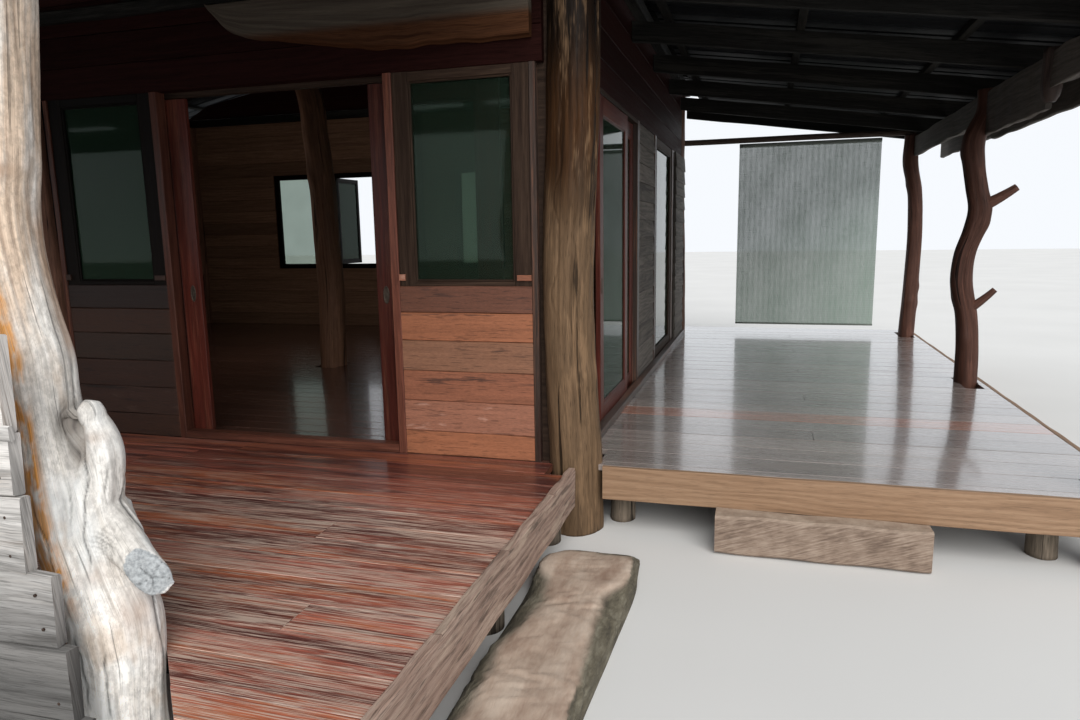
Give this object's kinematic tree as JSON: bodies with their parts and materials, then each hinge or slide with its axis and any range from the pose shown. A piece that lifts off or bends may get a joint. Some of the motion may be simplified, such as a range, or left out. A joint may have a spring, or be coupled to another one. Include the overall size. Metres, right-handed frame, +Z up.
{
  "type": "timber veranda house",
  "caption": "Single-storey timber house on stilts with natural log posts, sliding glass doors, a front deck, a covered side veranda and ribbed sheet roofs.",
  "frame": {"origin": "centre of the corner log's foot, on the ground", "axes": "+X to the right along the front wall, +Y back into the house, +Z up"},
  "size_m": [11.0618, 9.439, 4.4451],
  "materials": {
    "deck_board": "oiled hardwood boards, worn pale in streaks",
    "terrace_board": "polished grey brown hardwood boards",
    "weathered_edge": "bare weathered timber",
    "beam_timber": "dark dusty sawn timber",
    "stilt_timber": "rough bark-free stilts",
    "log": "natural log, oiled red brown",
    "bare_log": "natural log, bleached silver",
    "wall_board": "oiled teak boards",
    "grey_board": "weathered grey boards",
    "frame_timber": "varnished dark red joinery",
    "glass": "clear window glass",
    "roof_sheet": "ribbed steel sheet",
    "shade_net": "woven shade net"
  },
  "bodies": {
    "house": {"front_deck": "deck_board", "front_deck_edges": "weathered_edge", "terrace_deck": "terrace_board", "terrace_edges": "weathered_edge", "room_floor": "deck_board", "floor_beams": "beam_timber", "stilts": "stilt_timber", "step_slab": "weathered_edge", "edge_log": "weathered_edge", "corner_log": "log", "wall_logs": "log", "centre_log": "log", "porch_log": "bare_log", "porch_logs_left": "bare_log", "veranda_posts": "log", "front_dado": "wall_board", "front_posts": "frame_timber", "front_header": "wall_board", "front_window_frames": "frame_timber", "door_beam": "beam_timber", "front_rails": "frame_timber", "side_rails": "frame_timber", "thresholds": "grey_board", "side_boards": "grey_board", "side_posts": "frame_timber", "side_header": "wall_board", "side_window_frame": "frame_timber", "fixed_leaf": "frame_timber", "rear_lower": "wall_board", "rear_piers": "wall_board", "rear_upper": "wall_board", "left_wall": "wall_board", "casings": "frame_timber", "open_sash": "frame_timber", "wall_glass": "glass", "wall_plates": "beam_timber", "ridge_beam": "beam_timber", "gables": "wall_board", "main_rafters": "beam_timber", "purlins": "beam_timber", "roof_left": "roof_sheet", "roof_right": "roof_sheet", "ridge_cap": "roof_sheet", "porch_rafters": "beam_timber", "porch_beam": "beam_timber", "porch_roof": "roof_sheet", "veranda_rafters": "beam_timber", "eave_planks": "beam_timber", "veranda_roof": "roof_sheet", "rear_tie": "beam_timber", "blind": "shade_net", "parapet": "grey_board"},
    "leaf_right_body": {"leaf_right": "frame_timber", "leaf_right_glass": "glass"},
    "leaf_left_body": {"leaf_left": "frame_timber", "leaf_left_glass": "glass"},
    "leaf_side_body": {"leaf_side": "frame_timber", "leaf_side_glass": "glass"}
  },
  "joints": [
    {"name": "leaf_right_slide", "type": "slide", "parent": "house", "child": "leaf_right_body", "axis": [1, 0, 0], "range_m": [-0.63, 0.135]},
    {"name": "leaf_left_slide", "type": "slide", "parent": "house", "child": "leaf_left_body", "axis": [1, 0, 0], "range_m": [-0.135, 0.63]},
    {"name": "leaf_side_slide", "type": "slide", "parent": "house", "child": "leaf_side_body", "axis": [0, 1, 0], "range_m": [-0.5, 0.47]}
  ]
}
